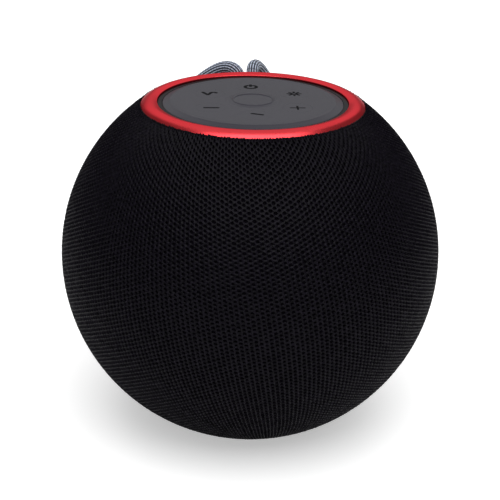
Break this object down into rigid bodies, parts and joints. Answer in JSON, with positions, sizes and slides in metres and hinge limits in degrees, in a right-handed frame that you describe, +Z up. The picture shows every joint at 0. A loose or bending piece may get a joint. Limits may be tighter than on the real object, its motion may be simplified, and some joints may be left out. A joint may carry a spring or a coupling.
{
  "type": "smart speaker",
  "caption": "Ball-shaped portable smart speaker in black knitted mesh, with a red ring, a grey rubber touch pad with keys and a braided lanyard at the back.",
  "frame": {"origin": "centre of the foot's flat underside, on the surface the speaker stands on", "axes": "+Z up through the middle of the control pad, front towards -Y, charging port and lanyard at +Y"},
  "size_m": [0.12, 0.1257, 0.1081],
  "materials": {
    "knit_mesh": "black knitted polyester mesh with open holes",
    "ring_red": "satin red anodised-look metal",
    "black_plastic": "fine matte black",
    "shell_plastic": "moulded black ABS",
    "screw_steel": "zinc plated steel",
    "foot_rubber": "soft matte rubber",
    "pad_rubber": "grey silicone rubber, silk touch",
    "smoked_guide": "smoked light guide, unlit",
    "seal_foam": "closed-cell foam",
    "board_green": "green solder mask",
    "led_white": "small white LED packages",
    "nickel_can": "nickel plated sheet",
    "basket_steel": "pressed zinc plated steel",
    "ferrite": "ferrite ceramic",
    "surround_rubber": "soft butyl rubber",
    "spider_cloth": "resin-treated cotton",
    "cone_paper": "coated paper pulp",
    "copper_wire": "enamelled copper",
    "cell_wrap": "plain blue shrink wrap",
    "ribbon_film": "polyimide film",
    "lead_jacket": "silicone wire jacket",
    "braided_cord": "navy and white braided nylon cord"
  },
  "bodies": {
    "housing": {"fabric_sleeve": "knit_mesh", "trim_ring": "ring_red", "base_cap": "black_plastic", "base_screws": "screw_steel", "foot_pad": "foot_rubber", "upper_shell": "shell_plastic", "lower_shell": "shell_plastic", "chamber_seal": "seal_foam", "shell_screws": "screw_steel", "baffle_plate": "shell_plastic", "control_pad": "pad_rubber", "control_deck": "black_plastic", "deck_screws": "screw_steel", "light_guide": "smoked_guide", "keypad_board": "board_green", "tact_switches": "black_plastic", "ring_leds": "led_white", "microphones": "nickel_can", "driver_basket": "basket_steel", "driver_screws": "screw_steel", "driver_top_plate": "basket_steel", "driver_magnet": "ferrite", "driver_yoke": "basket_steel", "driver_surround": "surround_rubber", "driver_spider": "spider_cloth", "sound_deflector": "shell_plastic", "radiator_frame": "black_plastic", "radiator_surround": "surround_rubber", "radiator_screws": "screw_steel", "inner_chassis": "shell_plastic", "battery_holder": "black_plastic", "battery_cell": "cell_wrap", "main_board": "board_green", "shield_can": "nickel_can", "board_parts": "black_plastic", "keypad_ribbon": "ribbon_film", "charge_lead": "lead_jacket", "speaker_lead": "lead_jacket", "port_board": "board_green", "port_frame": "black_plastic", "flap_pin": "screw_steel", "usb_c_receptacle": "nickel_can", "lanyard_anchor": "black_plastic", "cord_clamp": "nickel_can", "lanyard_cord": "braided_cord"},
    "cone": {"driver_cone": "cone_paper", "dust_cap": "cone_paper", "voice_coil": "copper_wire"},
    "radiator": {"radiator_plate": "black_plastic"},
    "flap": {"port_flap": "pad_rubber"},
    "key_power": {"key_power": "pad_rubber"},
    "key_light": {"key_light": "pad_rubber"},
    "key_volume_up": {"key_volume_up": "pad_rubber"},
    "key_play": {"key_play": "pad_rubber"},
    "key_volume_down": {"key_volume_down": "pad_rubber"},
    "key_link": {"key_link": "pad_rubber"},
    "key_centre": {"key_centre": "pad_rubber"}
  },
  "joints": [
    {"name": "press_power", "type": "slide", "parent": "housing", "child": "key_power", "axis": [0, 0, -1], "range_m": [0, 0.00035], "stiffness_N_per_m": 1200, "springref_m": -0.0002},
    {"name": "press_light", "type": "slide", "parent": "housing", "child": "key_light", "axis": [0, 0, -1], "range_m": [0, 0.00035], "stiffness_N_per_m": 1200, "springref_m": -0.0002},
    {"name": "press_volume_up", "type": "slide", "parent": "housing", "child": "key_volume_up", "axis": [0, 0, -1], "range_m": [0, 0.00035], "stiffness_N_per_m": 1200, "springref_m": -0.0002},
    {"name": "press_play", "type": "slide", "parent": "housing", "child": "key_play", "axis": [0, 0, -1], "range_m": [0, 0.00035], "stiffness_N_per_m": 1200, "springref_m": -0.0002},
    {"name": "press_volume_down", "type": "slide", "parent": "housing", "child": "key_volume_down", "axis": [0, 0, -1], "range_m": [0, 0.00035], "stiffness_N_per_m": 1200, "springref_m": -0.0002},
    {"name": "press_link", "type": "slide", "parent": "housing", "child": "key_link", "axis": [0, 0, -1], "range_m": [0, 0.00035], "stiffness_N_per_m": 1200, "springref_m": -0.0002},
    {"name": "press_centre", "type": "slide", "parent": "housing", "child": "key_centre", "axis": [0, 0, -1], "range_m": [0, 0.00035], "stiffness_N_per_m": 1200, "springref_m": -0.0002},
    {"name": "cone_stroke", "type": "slide", "parent": "housing", "child": "cone", "axis": [0, 0, -1], "range_m": [-0.0025, 0.0025], "stiffness_N_per_m": 1500, "deforming": ["driver_surround", "driver_spider"]},
    {"name": "radiator_stroke", "type": "slide", "parent": "housing", "child": "radiator", "axis": [0, 0, 1], "range_m": [-0.003, 0.003], "stiffness_N_per_m": 1500, "deforming": ["radiator_surround"]},
    {"name": "flap_hinge", "type": "hinge", "parent": "housing", "child": "flap", "pos_m": [0, 0.0468, 0.0215], "axis": [-1, 0, 0], "range_deg": [0, 85]}
  ]
}
